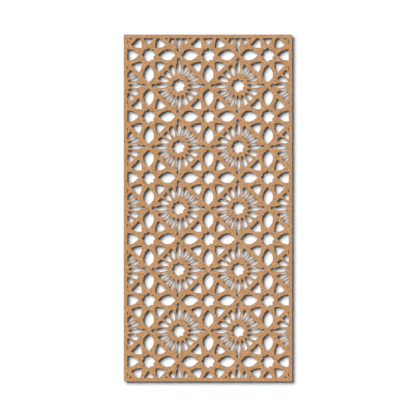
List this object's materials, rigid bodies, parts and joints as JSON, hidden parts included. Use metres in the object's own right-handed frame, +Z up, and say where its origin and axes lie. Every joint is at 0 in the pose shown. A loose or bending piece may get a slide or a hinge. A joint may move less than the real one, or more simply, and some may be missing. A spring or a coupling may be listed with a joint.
{
  "type": "mashrabiya screen",
  "caption": "Tall flat screen panel in raw MDF, pierced right through with a lattice of eight-pointed stars and rosettes inside a plain border, for fixing to a wall, window or frame.",
  "frame": {"origin": "centre of the back face, on the crossing of two diagonal ribs; the back face lies in the plane y = 0", "axes": "+Z up along the tall side, +X to the right seen from the front, +Y out of the back face towards the wall; the front faces -Y"},
  "size_m": [1.166, 0.012, 2.4],
  "materials": {
    "raw_mdf": "uncoated medium-density fibreboard, sanded faces and slightly darker machined edges, matt"
  },
  "bodies": {
    "root": {"screen_panel": "raw_mdf"}
  },
  "joints": []
}
